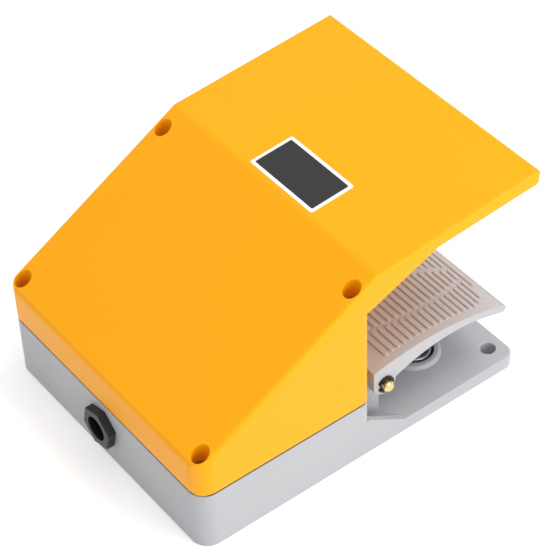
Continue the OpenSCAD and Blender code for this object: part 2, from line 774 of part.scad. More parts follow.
module rod_wiper() color([0.12, 0.12, 0.12]) translate([0, 0, rod_z]) difference() {
  along_y(wiper_r, wiper_t - 2 * slack, y_box - guide_flange_t);
  along_y(rod_r + run_gap, wiper_t + 2, y_box - guide_flange_t - 1);
}

// ---- Switch -------------------------------------------------------------------------------------

module switch_bracket() color([0.74, 0.74, 0.72]) difference() {
  translate([-bracket_w / 2, y_case + 1, z_case - bracket_t]) cube([bracket_w, case_d - 2, bracket_t]);
  for (s = [-1, 1]) {
    translate([s * bracket_screw_x, case_hole_y, 0]) cylinder(r = case_screw_r + 0.2, h = base_h);
    translate([s * case_hole_gap / 2, case_hole_y, 0]) cylinder(r = case_screw_r + run_gap, h = base_h);
  }
}

module bracket_screws() color([0.7, 0.7, 0.68]) for (s = [-1, 1])
  translate([s * bracket_screw_x, case_hole_y, z_case])
    pan_screw(case_screw_r, z_case - floor_t - 2, 1.8 * case_screw_r, 2.4, 0.8);

// Moulded case with its plunger collar and a step for the terminals
module switch_case() color([0.13, 0.12, 0.12]) translate([0, 0, rod_z]) difference() {
  union() {
    translate([-case_l / 2, y_case, -case_h / 2]) cube([case_l, case_d - terminal_in, case_h]);
    translate([-case_l / 2, y_case, -case_h / 2]) cube([case_l, case_d, case_h / 2]);
    along_y(plunger_r + 1.5, 1, y_case - 1);
  }
  along_y(plunger_r + run_gap, rod_travel + 4, y_case - 2);
  for (s = [-1, 1]) translate([s * case_hole_gap / 2, case_hole_y, -case_h])
    cylinder(r = case_screw_r + run_gap, h = 2 * case_h);
}

module switch_plunger() color([0.75, 0.2, 0.15]) translate([0, 0, rod_z])
  along_y(plunger_r, plunger_out + 1.5 - touch_gap, y_plunger);

module switch_screws() color([0.7, 0.7, 0.68]) for (s = [-1, 1])
  translate([s * case_hole_gap / 2, case_hole_y, rod_z + case_h / 2])
    pan_screw(case_screw_r, case_h + bracket_t, 1.8 * case_screw_r, 2.4, 0.8);

// Three brass terminal strips that lie on the case's step
module switch_terminals() color([0.82, 0.68, 0.35]) for (s = [-1, 0, 1])
  translate([s * terminal_gap, y_case + case_d - terminal_in, rod_z]) difference() {
    translate([-terminal_w / 2, 0, 0]) cube([terminal_w, terminal_l, terminal_t]);
    translate([0, terminal_l - terminal_w / 2, -1])
      cylinder(r = terminal_screw_r + 0.1, h = terminal_t + 2);
  }

module terminal_screws() color([0.78, 0.78, 0.75]) for (s = [-1, 0, 1])
  translate([s * terminal_gap, y_case + case_d - terminal_in, rod_z + terminal_t])
    translate([0, terminal_l - terminal_w / 2, 0])
      pan_screw(terminal_screw_r, terminal_t + terminal_in / 2, terminal_head_r, terminal_head_h, 0.7);

// ---- Cable entry and earth ----------------------------------------------------------------------

// Hollow hexagonal nut that screws into the back wall
module gland_nut() color([0.16, 0.16, 0.17]) translate([0, y_back, entry_z]) rotate([-90, 0, 0])
  difference() {
    union() {
      intersection() {
        rotate(gland_turn) hexagon(gland_af, gland_out);
        cylinder(r1 = gland_af * 0.72, r2 = gland_af * 0.72 - gland_out * 0.72, h = gland_out * 1.6);
      }
      translate([0, 0, -gland_l]) cylinder(r = gland_r, h = gland_l + slack);
    }
    cylinder(r = cable_r, h = gland_out + 2);
    translate([0, 0, -gland_l - 1]) cylinder(r = gland_r - sleeve_t, h = gland_l + 1);
  }

module gland_washer() color([0.7, 0.7, 0.68]) translate([0, y_gland_end - entry_washer_t, entry_z])
  rotate([-90, 0, 0]) ring(gland_r, cable_r + 0.4, entry_washer_t);

module gland_seal() color([0.1, 0.1, 0.1]) translate([0, y_gland_end - entry_washer_t - seal_t, entry_z])
  rotate([-90, 0, 0]) ring(gland_r, cable_r + 0.2, seal_t);

module earth_washer() color([0.8, 0.68, 0.35]) translate([-earth_x, earth_y, earth_z])
  ring(head_r + 0.5, screw_r + 0.2, washer_t);

module earth_screw() color([0.8, 0.68, 0.35]) translate([-earth_x, earth_y, earth_z + washer_t])
  pan_screw(screw_r, earth_z + washer_t - floor_t - 1, head_r, head_h, 1);

// ---- Output -------------------------------------------------------------------------------------

base_housing();
top_cover();
cover_gasket();
cover_screws_back();
cover_screws_front();
cover_washers();
treadle();
pivot_pin();
retaining_clips();
pivot_spacers();
return_spring_left();
return_spring_right();
adjusting_screw();
adjusting_locknut();
push_rod();
rod_circlip();
rod_guide();
rod_guide_nut();
rod_wiper();
switch_bracket();
bracket_screws();
switch_case();
switch_plunger();
switch_screws();
switch_terminals();
terminal_screws();
gland_nut();
gland_washer();
gland_seal();
earth_screw();
earth_washer();
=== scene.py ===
import math

import bmesh
import bpy
from mathutils import Matrix, Vector


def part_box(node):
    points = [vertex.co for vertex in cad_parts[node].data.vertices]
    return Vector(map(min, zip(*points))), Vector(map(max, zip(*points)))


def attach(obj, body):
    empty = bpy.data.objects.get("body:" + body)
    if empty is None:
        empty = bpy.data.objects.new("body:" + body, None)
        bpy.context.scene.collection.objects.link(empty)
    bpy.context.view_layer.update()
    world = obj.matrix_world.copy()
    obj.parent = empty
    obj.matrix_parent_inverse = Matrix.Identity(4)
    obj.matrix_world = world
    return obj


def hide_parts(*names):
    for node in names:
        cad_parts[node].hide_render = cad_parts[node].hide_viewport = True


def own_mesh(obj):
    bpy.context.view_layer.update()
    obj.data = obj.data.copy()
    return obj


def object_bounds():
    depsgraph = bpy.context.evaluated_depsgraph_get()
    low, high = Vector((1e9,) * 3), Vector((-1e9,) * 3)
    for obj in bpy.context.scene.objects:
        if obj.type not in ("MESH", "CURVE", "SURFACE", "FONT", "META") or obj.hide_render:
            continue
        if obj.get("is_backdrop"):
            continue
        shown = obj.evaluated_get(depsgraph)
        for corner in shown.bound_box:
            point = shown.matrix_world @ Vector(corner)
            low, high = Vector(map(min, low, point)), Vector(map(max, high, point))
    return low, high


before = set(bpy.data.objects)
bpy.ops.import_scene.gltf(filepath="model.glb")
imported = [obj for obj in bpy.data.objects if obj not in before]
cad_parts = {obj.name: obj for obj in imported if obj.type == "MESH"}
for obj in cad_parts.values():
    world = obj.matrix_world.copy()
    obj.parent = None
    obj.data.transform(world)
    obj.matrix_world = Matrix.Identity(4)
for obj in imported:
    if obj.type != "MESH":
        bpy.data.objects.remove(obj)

cad_low, cad_high = (Vector(corner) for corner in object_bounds())

# ---- Floor, camera and lamps ---------------------------------------------------------------------
# A pale studio floor that runs out of sight. It stays white in the open and keeps the switch's
# soft shadow. Three broad lamps and a pale sky light the paint at a level that shows its colour.


def linear(hex_colour):
    """sRGB hex to the linear colour that a shader takes."""
    parts = [int(hex_colour[i:i + 2], 16) / 255 for i in (1, 3, 5)]
    return [c / 12.92 if c <= 0.04045 else ((c + 0.055) / 1.055) ** 2.4 for c in parts] + [1]


def add(tree, kind, settings={}, inputs={}):
    """Adds a node with its settings. An input takes a value, or a socket to link from."""
    new = tree.nodes.new(kind)
    for name, value in settings.items():
        setattr(new, name, value)
    for name, value in inputs.items():
        if isinstance(value, bpy.types.NodeSocket):
            tree.links.new(value, new.inputs[name])
        else:
            new.inputs[name].default_value = value
    return new


def empty_material(name):
    material = bpy.data.materials.new(name)
    material.use_nodes = True
    material.node_tree.nodes.clear()
    return material, material.node_tree


def seen_directly(tree):
    """1 for what the eye, a reflection or a glass sees, 0 for the light that lands on things."""
    path = add(tree, "ShaderNodeLightPath")
    either = add(tree, "ShaderNodeMath", {"operation": "MAXIMUM"},
                 {0: path.outputs["Is Camera Ray"], 1: path.outputs["Is Glossy Ray"]})
    return add(tree, "ShaderNodeMath", {"operation": "MAXIMUM"},
               {0: either.outputs[0], 1: path.outputs["Is Transmission Ray"]}).outputs[0]


scene = bpy.context.scene
scene.view_settings.view_transform = "Standard"

# Matt white paper, which spreads the light with no gloss, so that the shadow on it fades softly
floor_reach, floor_lift, outline_inset = 6, 0.3, 0.006
floor_paper, tree = empty_material("matt_white_paper_sweep")
paper = add(tree, "ShaderNodeBsdfDiffuse", inputs={"Color": linear("#F4F4F4")})
# The floor inside the switch's outline isn't lifted, so that it stays dark at the foot of a hole
part = add(tree, "ShaderNodeSeparateXYZ", inputs={
    0: add(tree, "ShaderNodeTexCoord").outputs["Object"]})
open_floor = 0.0
for axis in (0, 1):
    middle, half = (cad_low[axis] + cad_high[axis]) / 2, (cad_high[axis] - cad_low[axis]) / 2
    away = add(tree, "ShaderNodeMath", {"operation": "SUBTRACT"}, {
        0: part.outputs[axis], 1: middle})
    out = add(tree, "ShaderNodeMath", {"operation": "ABSOLUTE"}, {0: away.outputs[0]})
    past = add(tree, "ShaderNodeMath", {"operation": "GREATER_THAN"}, {
        0: out.outputs[0], 1: half - outline_inset})
    open_floor = add(tree, "ShaderNodeMath", {"operation": "MAXIMUM"}, {
        0: past.outputs[0], 1: open_floor}).outputs[0]
seen_open = add(tree, "ShaderNodeMath", {"operation": "MULTIPLY"}, {
    0: seen_directly(tree), 1: open_floor})
lift = add(tree, "ShaderNodeMath", {"operation": "MULTIPLY"}, {
    0: seen_open.outputs[0], 1: floor_lift})
glow = add(tree, "ShaderNodeEmission", inputs={
    "Color": linear("#FFFFFF"), "Strength": lift.outputs[0]})
both = add(tree, "ShaderNodeAddShader", inputs={0: paper.outputs[0], 1: glow.outputs[0]})
add(tree, "ShaderNodeOutputMaterial", inputs={"Surface": both.outputs[0]})

floor_mesh = bpy.data.meshes.new("floor")
floor_mesh.from_pydata([(x * floor_reach, y * floor_reach, 0)
                        for x, y in ((-1, -1), (1, -1), (1, 1), (-1, 1))], [], [(0, 1, 2, 3)])
floor_mesh.materials.append(floor_paper)
floor = bpy.data.objects.new("floor", floor_mesh)
scene.collection.objects.link(floor)
floor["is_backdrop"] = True

# The sky lights the switch a little less than it shows itself, which is as plain white
sky_light, sky_shown = 0.77, 1.0
sky = bpy.data.worlds.new("pale_studio")
scene.world = sky
sky.use_nodes = True
sky.node_tree.nodes.clear()
light_sky = add(sky.node_tree, "ShaderNodeBackground", inputs={
    "Color": linear("#FFFFFF"), "Strength": sky_light})
seen_sky = add(sky.node_tree, "ShaderNodeBackground", inputs={
    "Color": linear("#FFFFFF"), "Strength": sky_shown})
sky_mix = add(sky.node_tree, "ShaderNodeMixShader", inputs={
    0: seen_directly(sky.node_tree), 1: light_sky.outputs[0], 2: seen_sky.outputs[0]})
add(sky.node_tree, "ShaderNodeOutputWorld", inputs={"Surface": sky_mix.outputs[0]})


lamp_side, lamp_aim = 0.9, Vector((0, 0, 0.05))


def lamp(name, place, watts):
    """A square lamp that points at the middle of the switch."""
    light = bpy.data.lights.new(name, "AREA")
    light.energy, light.size = watts, lamp_side
    new = bpy.data.objects.new(name, light)
    new.location = place
    new.rotation_mode = "QUATERNION"
    new.rotation_quaternion = (lamp_aim - Vector(place)).to_track_quat("-Z", "Y")
    scene.collection.objects.link(new)


lamp("corner_lamp", (-1.12, -0.63, 1.26), 5.1)
lamp("top_lamp", (-0.25, -0.8, 1.55), 10.6)
lamp("side_lamp", (-1.7, -0.15, 0.55), 10.5)

# The camera looks down over the back left corner from about a metre away
azimuth, elevation, roll = (math.radians(a) for a in (233.897, 43.788, -2.206))
aim, distance = Vector((0.00237, -0.01282, 0.04804)), 1.06435
lens_mm, sensor_mm = 138.59, 36
back = Vector((math.sin(azimuth) * math.cos(elevation), -math.cos(azimuth) * math.cos(elevation),
               math.sin(elevation)))
level = Vector((0, 0, 1)).cross(back).normalized()
upright = back.cross(level)
right = math.cos(roll) * level + math.sin(roll) * upright
up = math.cos(roll) * upright - math.sin(roll) * level
camera = bpy.data.objects.new("camera", bpy.data.cameras.new("camera"))
camera.data.lens, camera.data.sensor_width = lens_mm, sensor_mm
camera.data.clip_start, camera.data.clip_end = 0.01, 30
stance = Matrix((right, up, back)).transposed().to_4x4()
camera.matrix_world = Matrix.Translation(aim + back * distance) @ stance
scene.collection.objects.link(camera)
scene.camera = camera

# ---- Base casting --------------------------------------------------------------------------------
# The lower half of the switch: one die casting in aluminium, a box for the contacts with a toe plate
# in front of it. It is painted grey, and the paint rounds every edge and hides the metal's grain.


merge_reach, flat_turn, edge_turn = 2e-6, math.radians(0.4), math.radians(30)
edge_segments, face_weight = 2, 90


def softened(node, name, width, crisp=()):
    """A merged copy of a cast or moulded node, with its outer edges rounded by this width.

    Inner corners stay sharp. So do the edges inside the upright circles in crisp, each given as
    x, y and radius.
    """
    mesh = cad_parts[node].data.copy()
    mesh.materials.clear()
    form = bmesh.new()
    form.from_mesh(mesh)
    bmesh.ops.remove_doubles(form, verts=form.verts, dist=merge_reach)
    bmesh.ops.dissolve_degenerate(form, edges=form.edges, dist=merge_reach)
    bmesh.ops.dissolve_limit(form, angle_limit=flat_turn, verts=form.verts, edges=form.edges)
    rounded = form.edges.layers.float.new("bevel_weight_edge")
    for edge in form.edges:
        turn = edge.calc_face_angle_signed()
        sharp = any(all(math.hypot(end.co.x - x, end.co.y - y) < reach for end in edge.verts)
                    for x, y, reach in crisp)
        edge[rounded] = 1.0 if turn > edge_turn and not sharp else 0.0
        edge.smooth = turn > -edge_turn and not (sharp and turn > edge_turn)
    for face in form.faces:
        face.smooth = True
    form.to_mesh(mesh)
    form.free()
    # The solid's own normals don't fit the merged faces
    for layer in list(mesh.attributes):
        if layer.name == "custom_normal":
            mesh.attributes.remove(layer)
    piece = bpy.data.objects.new(name, mesh)
    scene.collection.objects.link(piece)
    bevel = piece.modifiers.new("soft_edges", "BEVEL")
    bevel.width, bevel.segments = width, edge_segments
    bevel.limit_method = "WEIGHT"
    bevel.use_clamp_overlap = False
    weighted = piece.modifiers.new("flat_faces", "WEIGHTED_NORMAL")
    weighted.keep_sharp, weighted.weight = True, face_weight
    return piece


# Most of a noise's values lie between these two, so a finish's gloss is spread between them
noise_low, noise_high = 0.3, 0.7
cloud_scale, paint_gloss_spread, paint_specular = 22.0, 0.05, 0.2


def paint(name, colour, rough, peel_mm, peel_depth, grain_mm, grain_depth, mottle=0.03):
    """Paint over a casting: a long soft peel from the spray gun over the fine grain of the metal.

    The grain is drawn coarser than it is, so that it shows, and a faint cloudiness about 45 mm
    across varies the colour.
    """
    material, tree = empty_material(name)
    at = add(tree, "ShaderNodeTexCoord").outputs["Object"]
    peel = add(tree, "ShaderNodeTexNoise", inputs={
        "Vector": at, "Scale": 1000 / peel_mm, "Detail": 2.0})
    grain = add(tree, "ShaderNodeTexNoise", inputs={
        "Vector": at, "Scale": 1000 / grain_mm, "Detail": 3.0})
    cloud = add(tree, "ShaderNodeTexNoise", inputs={
        "Vector": at, "Scale": cloud_scale, "Detail": 2.0})
    pale = add(tree, "ShaderNodeMixRGB", {"blend_type": "MIX"}, {
        "Fac": cloud.outputs["Fac"],
        "Color1": [c * (1 - mottle) for c in linear(colour)[:3]] + [1],
        "Color2": [min(1, c * (1 + mottle)) for c in linear(colour)[:3]] + [1]})
    gloss = add(tree, "ShaderNodeMapRange", inputs={
        "Value": grain.outputs["Fac"], "From Min": noise_low, "From Max": noise_high,
        "To Min": rough - paint_gloss_spread, "To Max": rough + paint_gloss_spread})
    peeled = add(tree, "ShaderNodeBump", inputs={
        "Height": peel.outputs["Fac"], "Strength": 1.0, "Distance": peel_depth})
    grained = add(tree, "ShaderNodeBump", inputs={
        "Height": grain.outputs["Fac"], "Strength": 1.0, "Distance": grain_depth,
        "Normal": peeled.outputs[0]})
    skin = add(tree, "ShaderNodeBsdfPrincipled", inputs={
        "Base Color": pale.outputs[0], "Roughness": gloss.outputs[0], "IOR": 1.5,
        "Specular IOR Level": paint_specular, "Normal": grained.outputs[0]})
    add(tree, "ShaderNodeOutputMaterial", inputs={"Surface": skin.outputs[0]})
    return material


# Grey stoving enamel, sprayed: half matt, with a fine even grain that breaks up its reflections
grey_enamel = paint("sprayed_grey_enamel", "#B2B3B7", 0.42, 1.6, 0.00002, 0.6, 0.00002)
base = softened("base_housing", "painted_base", 0.0005)
base.data.materials.append(grey_enamel)
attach(base, "housing")
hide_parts("base_housing")

# ---- Top cover -----------------------------------------------------------------------------------
# The upper half, a die casting too: a hood over the contacts whose roof reaches out to guard the
# treadle from a falling load. It is powder coated in a safety orange yellow, smooth and half glossy.

# Powder coat, baked on: one deep even colour, half glossy, with a slight long peel and little grain
safety_yellow = paint(
    "powder_coated_safety_yellow", "#FAA800", 0.36, 2.2, 0.00002, 0.8, 0.000008, 0.02)
# The rims of the screw wells and the roof's two front corners are too tight to round by this much
well_reach, corner_inset, corner_reach = 0.0058, 0.004, 0.008
wells = []
for node in ("cover_screws_back", "cover_screws_front"):
    low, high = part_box(node)
    head = (high[1] - low[1]) / 2
    wells += [(side * (high[0] - head), (low[1] + high[1]) / 2, well_reach) for side in (-1, 1)]
corners = [(side * (cad_high.x - corner_inset), cad_low.y + corner_inset, corner_reach)
           for side in (-1, 1)]
cover = softened("top_cover", "coated_cover", 0.0007, crisp=wells + corners)
cover.data.materials.append(safety_yellow)
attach(cover, "housing")
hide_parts("top_cover")

# ---- Rating plate --------------------------------------------------------------------------------
# A thin printed film stuck to the roof in front of the crease: a black field inside a white margin.
# The field is left bare.

label_low, label_high = Vector((-0.0276, -0.0362)), Vector((0.0200, -0.0104))
margin, film = 0.0019, 0.00018
margin_radius, field_radius, corner_steps = 0.0012, 0.0006, 4
# The roof rises in a straight slope from its crease to its nose
crease, nose = Vector((0, -0.0083, 0.1145)), Vector((0, -0.1075, 0.1222))
rise = (nose.z - crease.z) / (nose.y - crease.y)


def rounded_plate(name, low, high, radius, lift, thickness):
    """A thin plate with round corners that lies on the sloping roof."""
    form = bmesh.new()
    ring = []
    for turn, (x, y) in enumerate(((high.x, high.y), (low.x, high.y), (low.x, low.y), (high.x, low.y))):
        cx = x - radius if turn in (0, 3) else x + radius
        cy = y - radius if turn in (0, 1) else y + radius
        for step in range(corner_steps + 1):
            a = math.radians(90 * turn + 90 / corner_steps * step)
            ring.append((cx + radius * math.cos(a), cy + radius * math.sin(a)))
    walls = []
    for level_up in (lift, lift + thickness):
        walls.append([form.verts.new((x, y, crease.z + rise * (y - crease.y) + level_up))
                      for x, y in ring])
    form.faces.new(walls[1])
    form.faces.new(list(reversed(walls[0])))
    for i in range(len(ring)):
        j = (i + 1) % len(ring)
        form.faces.new((walls[0][i], walls[0][j], walls[1][j], walls[1][i]))
    bmesh.ops.recalc_face_normals(form, faces=form.faces)
    mesh = bpy.data.meshes.new(name)
    form.to_mesh(mesh)
    form.free()
    piece = bpy.data.objects.new(name, mesh)
    scene.collection.objects.link(piece)
    return piece


film_gloss_spread, film_scale = 0.08, 160.0


def printed_film(name, colour, rough):
    """Printed polyester film: flat colour under a smooth face, a little dulled by handling."""
    material, tree = empty_material(name)
    at = add(tree, "ShaderNodeTexCoord").outputs["Object"]
    dull = add(tree, "ShaderNodeTexNoise", inputs={
        "Vector": at, "Scale": film_scale, "Detail": 3.0})
    gloss = add(tree, "ShaderNodeMapRange", inputs={
        "Value": dull.outputs["Fac"],
        "To Min": rough - film_gloss_spread, "To Max": rough + film_gloss_spread})
    ripple = add(tree, "ShaderNodeBump", inputs={
        "Height": dull.outputs["Fac"], "Strength": 0.4, "Distance": 0.00003})
    skin = add(tree, "ShaderNodeBsdfPrincipled", inputs={
        "Base Color": linear(colour), "Roughness": gloss.outputs[0], "IOR": 1.5,
        "Normal": ripple.outputs[0]})
    add(tree, "ShaderNodeOutputMaterial", inputs={"Surface": skin.outputs[0]})
    return material


# White ink under clear film: the palest thing on the switch, a crisp line round the field
white_margin = rounded_plate("plate_margin", label_low, label_high, margin_radius, 0.0, film)
white_margin.data.materials.append(printed_film("white_printed_film", "#F1EFEA", 0.35))
# Black ink under clear film: dark, with a pale haze where its face catches the sky
inset = Vector((margin, margin))
black_field = rounded_plate(
    "plate_field", label_low + inset, label_high - inset, field_radius, film / 2, film)
black_field.data.materials.append(printed_film("black_printed_film", "#131214", 0.3))
for piece in (white_margin, black_field):
    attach(piece, "housing")

# ---- Gasket --------------------------------------------------------------------------------------
# A gasket of dark oiled fibre, punched to the box's rim and nipped between the two castings. Only
# its edge shows, as a thin brown line.

gloss_spread, least_rough, shade_low, shade_high = 0.06, 0.03, 0.88, 1.1


def plain_finish(name, colour, rough, metallic=0.0, grain_mm=0.5, depth=0.00001):
    """A finish of one colour with a fine irregular grain in its gloss and its surface.

    The grain is drawn coarser than it is, so that it shows.
    """
    material, tree = empty_material(name)
    at = add(tree, "ShaderNodeTexCoord").outputs["Object"]
    grain = add(tree, "ShaderNodeTexNoise", inputs={
        "Vector": at, "Scale": 1000 / grain_mm, "Detail": 4.0})
    gloss = add(tree, "ShaderNodeMapRange", inputs={
        "Value": grain.outputs["Fac"], "From Min": noise_low, "From Max": noise_high,
        "To Min": max(least_rough, rough - gloss_spread), "To Max": rough + gloss_spread})
    shade = add(tree, "ShaderNodeMixRGB", inputs={
        "Fac": grain.outputs["Fac"],
        "Color1": [c * shade_low for c in linear(colour)[:3]] + [1],
        "Color2": [min(1, c * shade_high) for c in linear(colour)[:3]] + [1]})
    bump = add(tree, "ShaderNodeBump", inputs={
        "Height": grain.outputs["Fac"], "Strength": 1.0, "Distance": depth})
    skin = add(tree, "ShaderNodeBsdfPrincipled", inputs={
        "Base Color": shade.outputs[0], "Roughness": gloss.outputs[0], "Metallic": metallic,
        "IOR": 1.5, "Normal": bump.outputs[0]})
    add(tree, "ShaderNodeOutputMaterial", inputs={"Surface": skin.outputs[0]})
    return material


def dress(node, material):
    """Gives a CAD node its finish."""
    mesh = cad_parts[node].data
    mesh.materials.clear()
    mesh.materials.append(material)


# Pressed vegetable fibre soaked in oil: dark brown and dull, with a slightly rough edge
dress("cover_gasket", plain_finish(
    "oiled_fibre_gasket", "#3A2A1C", 0.7, grain_mm=0.4, depth=0.00003))

# ---- Cover screws --------------------------------------------------------------------------------
# Four steel pan-head machine screws, zinc plated, that pull the cover down on the gasket from the
# bottom of four deep wells. The back pair is short, the front pair long.

head_radius, head_height, shank_radius = 0.004, 0.003, 0.0021
# The recess as shares of the head's radius, the power of the dome's fall, and how the heads ended
# up turned when they were driven home
cross_length, cross_width, dome_power = 1.15, 0.26, 3.0
largest_turn, turn_seed = 1.5, 4
hard_edge = math.radians(35)


def sized_tree(name, sizes):
    """An empty Geometry Nodes tree with a named input for each size, and its group's two ends."""
    tree = bpy.data.node_groups.new(name, "GeometryNodeTree")
    tree.interface.new_socket("Geometry", in_out="INPUT", socket_type="NodeSocketGeometry")
    tree.interface.new_socket("Geometry", in_out="OUTPUT", socket_type="NodeSocketGeometry")
    for size in sizes:
        tree.interface.new_socket(size, in_out="INPUT", socket_type="NodeSocketFloat")
    return tree, tree.nodes.new("NodeGroupInput").outputs


def realised(tree, geometry, finish):
    """Ends a tree in plain geometry with its finish and its edges sharp where they turn hard."""
    plain = add(tree, "GeometryNodeRealizeInstances", inputs={"Geometry": geometry})
    smooth = add(tree, "GeometryNodeSetShadeSmooth", inputs={"Geometry": plain.outputs[0]})
    turn = add(tree, "GeometryNodeInputMeshEdgeAngle")
    hard = add(tree, "FunctionNodeCompare", {"operation": "GREATER_THAN"},
               {"A": turn.outputs["Unsigned Angle"], "B": hard_edge})
    edged = add(tree, "GeometryNodeSetShadeSmooth", {"domain": "EDGE"}, {
        "Geometry": smooth.outputs[0], "Selection": hard.outputs[0], "Shade Smooth": False})
    dressed = add(tree, "GeometryNodeSetMaterial", inputs={
        "Geometry": edged.outputs[0], "Material": finish})
    add(tree, "NodeGroupOutput", inputs={"Geometry": dressed.outputs[0]})


def grown(name, tree, points, values):
    """Plain mesh of what a tree makes on these points."""
    seats = bpy.data.meshes.new(name)
    seats.from_pydata(points, [], [])
    piece = bpy.data.objects.new(name, seats)
    scene.collection.objects.link(piece)
    grow = piece.modifiers.new("grow", "NODES")
    grow.node_group = tree
    for item in tree.interface.items_tree:
        if item.in_out == "INPUT" and item.name in values:
            grow[item.identifier] = values[item.name]
    shown = piece.evaluated_get(bpy.context.evaluated_depsgraph_get())
    mesh = bpy.data.meshes.new_from_object(shown)
    piece.modifiers.clear()
    piece.data = mesh
    return piece


# Bright zinc on cold-headed steel: a cool mirror broken by a fine satin
zinc_plate = plain_finish("bright_zinc_plate", "#C6C8CB", 0.3, metallic=1.0, grain_mm=0.3, depth=0.000004)


def pan_head_tree(finish):
    """A screw that hangs from each point: a domed head with a cross recess, and its plain shank."""
    tree, size = sized_tree("pan_head_screws", (
        "Head Radius", "Head Height", "Shank Radius", "Length"))
    half = add(tree, "ShaderNodeMath", {"operation": "MULTIPLY"}, {
        0: size["Head Height"], 1: 0.5})
    blank = add(tree, "GeometryNodeMeshCylinder", inputs={
        "Vertices": 40, "Fill Segments": 5,
        "Radius": size["Head Radius"], "Depth": size["Head Height"]})
    # The dome falls away with the cube of the distance from the middle
    at = add(tree, "GeometryNodeInputPosition").outputs[0]
    part = add(tree, "ShaderNodeSeparateXYZ", inputs={0: at})
    flat = add(tree, "ShaderNodeCombineXYZ", inputs={"X": part.outputs["X"], "Y": part.outputs["Y"]})
    out = add(tree, "ShaderNodeVectorMath", {"operation": "LENGTH"}, {0: flat.outputs[0]})
    share = add(tree, "ShaderNodeMath", {"operation": "DIVIDE"}, {
        0: out.outputs["Value"], 1: size["Head Radius"]})
    cube = add(tree, "ShaderNodeMath", {"operation": "POWER"}, {
        0: share.outputs[0], 1: dome_power})
    fall = add(tree, "ShaderNodeMath", {"operation": "MULTIPLY"}, {
        0: cube.outputs[0], 1: half.outputs[0]})
    down = add(tree, "ShaderNodeMath", {"operation": "MULTIPLY"}, {0: fall.outputs[0], 1: -1.0})
    drop = add(tree, "ShaderNodeCombineXYZ", inputs={"Z": down.outputs[0]})
    upper = add(tree, "FunctionNodeCompare", {"operation": "GREATER_THAN"}, {
        "A": part.outputs["Z"], "B": 0.0})
    domed = add(tree, "GeometryNodeSetPosition", inputs={
        "Geometry": blank.outputs["Mesh"], "Selection": upper.outputs[0],
        "Offset": drop.outputs[0]})
    # Two crossed bars, sunk to half their height in the top of the head, cut the recess
    long_arm = add(tree, "ShaderNodeMath", {"operation": "MULTIPLY"}, {
        0: size["Head Radius"], 1: cross_length})
    wide_arm = add(tree, "ShaderNodeMath", {"operation": "MULTIPLY"}, {
        0: size["Head Radius"], 1: cross_width})
    bars = []
    for x, y in ((long_arm, wide_arm), (wide_arm, long_arm)):
        extent = add(tree, "ShaderNodeCombineXYZ", inputs={
            "X": x.outputs[0], "Y": y.outputs[0], "Z": size["Head Height"]})
        bars.append(add(tree, "GeometryNodeMeshCube", inputs={"Size": extent.outputs[0]}))
    cross = add(tree, "GeometryNodeMeshBoolean", {"operation": "UNION"})
    for bar in bars:
        tree.links.new(bar.outputs["Mesh"], cross.inputs["Mesh 2"])
    raised = add(tree, "ShaderNodeCombineXYZ", inputs={"Z": half.outputs[0]})
    lifted = add(tree, "GeometryNodeTransform", inputs={
        "Geometry": cross.outputs[0], "Translation": raised.outputs[0]})
    recessed = add(tree, "GeometryNodeMeshBoolean", {"operation": "DIFFERENCE"}, {
        "Mesh 1": domed.outputs[0], "Mesh 2": lifted.outputs[0]})
    head = add(tree, "GeometryNodeTransform", inputs={
        "Geometry": recessed.outputs[0], "Translation": raised.outputs[0]})
    rod = add(tree, "GeometryNodeMeshCylinder", inputs={
        "Vertices": 24, "Radius": size["Shank Radius"], "Depth": size["Length"]})
    half_rod = add(tree, "ShaderNodeMath", {"operation": "MULTIPLY"}, {
        0: size["Length"], 1: -0.5})
    below = add(tree, "ShaderNodeCombineXYZ", inputs={"Z": half_rod.outputs[0]})
    shank = add(tree, "GeometryNodeTransform", inputs={
        "Geometry": rod.outputs["Mesh"], "Translation": below.outputs[0]})
    whole = add(tree, "GeometryNodeMeshBoolean", {"operation": "UNION"})
    tree.links.new(head.outputs[0], whole.inputs["Mesh 2"])
    tree.links.new(shank.outputs[0], whole.inputs["Mesh 2"])
    turned = add(tree, "FunctionNodeRandomValue", {"data_type": "FLOAT"}, {
        "Min": 0.0, "Max": largest_turn, "Seed": turn_seed})
    twist = add(tree, "ShaderNodeCombineXYZ", inputs={"Z": turned.outputs["Value"]})
    placed = add(tree, "GeometryNodeInstanceOnPoints", inputs={
        "Points": size["Geometry"], "Instance": whole.outputs[0], "Rotation": twist.outputs[0]})
    realised(tree, placed.outputs[0], finish)
    return tree


pan_head = pan_head_tree(zinc_plate)


def screws_in_place(name, node, head, height, shank):
    """A pair of screws in place of a CAD node's pair, mirrored left and right.

    Each hangs from a point at the underside of its head, and its shank reaches the node's foot.
    """
    low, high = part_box(node)
    x = high[0] - head
    seats = [(side * x, (low[1] + high[1]) / 2, high[2] - height) for side in (-1, 1)]
    piece = grown(name, pan_head, seats, {
        "Head Radius": head, "Head Height": height, "Shank Radius": shank,
        "Length": seats[0][2] - low[2]})
    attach(piece, "housing")
    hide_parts(node)


for place in ("back", "front"):
    screws_in_place("pan_head_screws_" + place, "cover_screws_" + place,
                    head_radius, head_height, shank_radius)
dress("cover_washers", zinc_plate)

# ---- Treadle -------------------------------------------------------------------------------------
# The foot plate: a cast lever with an arched top, raised bars across its tread and a flange down
# each side. It is sprayed with grey enamel and turns on a pin through its lugs.

# The base's grey enamel laid on thicker: a touch paler and a little duller, evenly all over
tread_enamel = paint("pooled_grey_enamel", "#B6B6B9", 0.45, 1.4, 0.00002, 0.5, 0.00002)
treadle = softened("treadle", "painted_treadle", 0.0004)
treadle.data.materials.append(tread_enamel)
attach(treadle, "treadle")
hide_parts("treadle")

